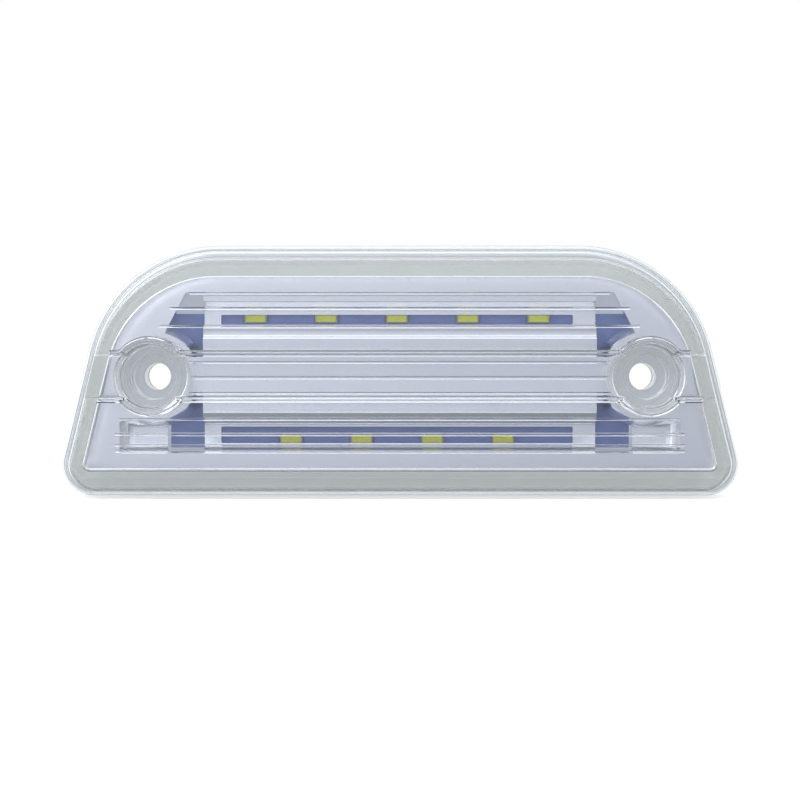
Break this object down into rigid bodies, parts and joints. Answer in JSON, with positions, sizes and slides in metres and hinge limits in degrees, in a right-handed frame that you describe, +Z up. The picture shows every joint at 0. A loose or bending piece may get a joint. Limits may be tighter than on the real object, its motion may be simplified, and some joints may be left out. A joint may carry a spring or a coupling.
{
  "type": "third brake light",
  "caption": "Clear D-shaped stop lamp with two LED rows behind a channelled lens, a blade socket at the back, held to a flat panel by two screws in deep wells.",
  "frame": {"origin": "midway between the two screw holes, on the back plane of the mounting gasket", "axes": "+Z up, X along the lamp, the lens faces -Y and the mounting face points to +Y"},
  "size_m": [0.14, 0.0325, 0.0516],
  "materials": {
    "lens_clear": "clear moulded polycarbonate, polished",
    "housing_plastic": "cream white moulded plastic",
    "gasket_foam": "closed-cell foam, cream",
    "seal_bead": "pale greenish white sealant",
    "reflector_coat": "bright metallised plastic, slightly blue",
    "board_mask": "blue solder mask",
    "led_housing": "white moulded package",
    "phosphor": "yellow-green phosphor in silicone, unlit",
    "contact_metal": "tin-plated",
    "chip_black": "black moulding",
    "capacitor_ceramic": "tan ceramic",
    "screw_steel": "zinc-plated steel",
    "socket_plastic": "black moulded plastic",
    "seal_rubber": "black rubber",
    "terminal_brass": "brass blades",
    "solder": "bright solder",
    "vent_film": "white porous film"
  },
  "bodies": {
    "root": {"mounting_gasket": "gasket_foam", "rear_housing": "housing_plastic", "perimeter_seal": "seal_bead", "outer_lens": "lens_clear", "reflector": "reflector_coat", "circuit_board": "board_mask", "upper_led_bodies": "led_housing", "lower_led_bodies": "led_housing", "upper_led_phosphor": "phosphor", "lower_led_phosphor": "phosphor", "upper_led_terminals": "contact_metal", "lower_led_terminals": "contact_metal", "current_resistors": "chip_black", "resistor_end_caps": "contact_metal", "polarity_diode": "chip_black", "diode_leads": "contact_metal", "surge_suppressor": "chip_black", "suppressor_leads": "contact_metal", "filter_capacitor": "capacitor_ceramic", "capacitor_end_caps": "contact_metal", "board_screws": "screw_steel", "connector_socket": "socket_plastic", "connector_seal": "seal_rubber", "power_terminals": "terminal_brass", "solder_joints": "solder", "vent_membrane": "vent_film"}
  },
  "joints": []
}
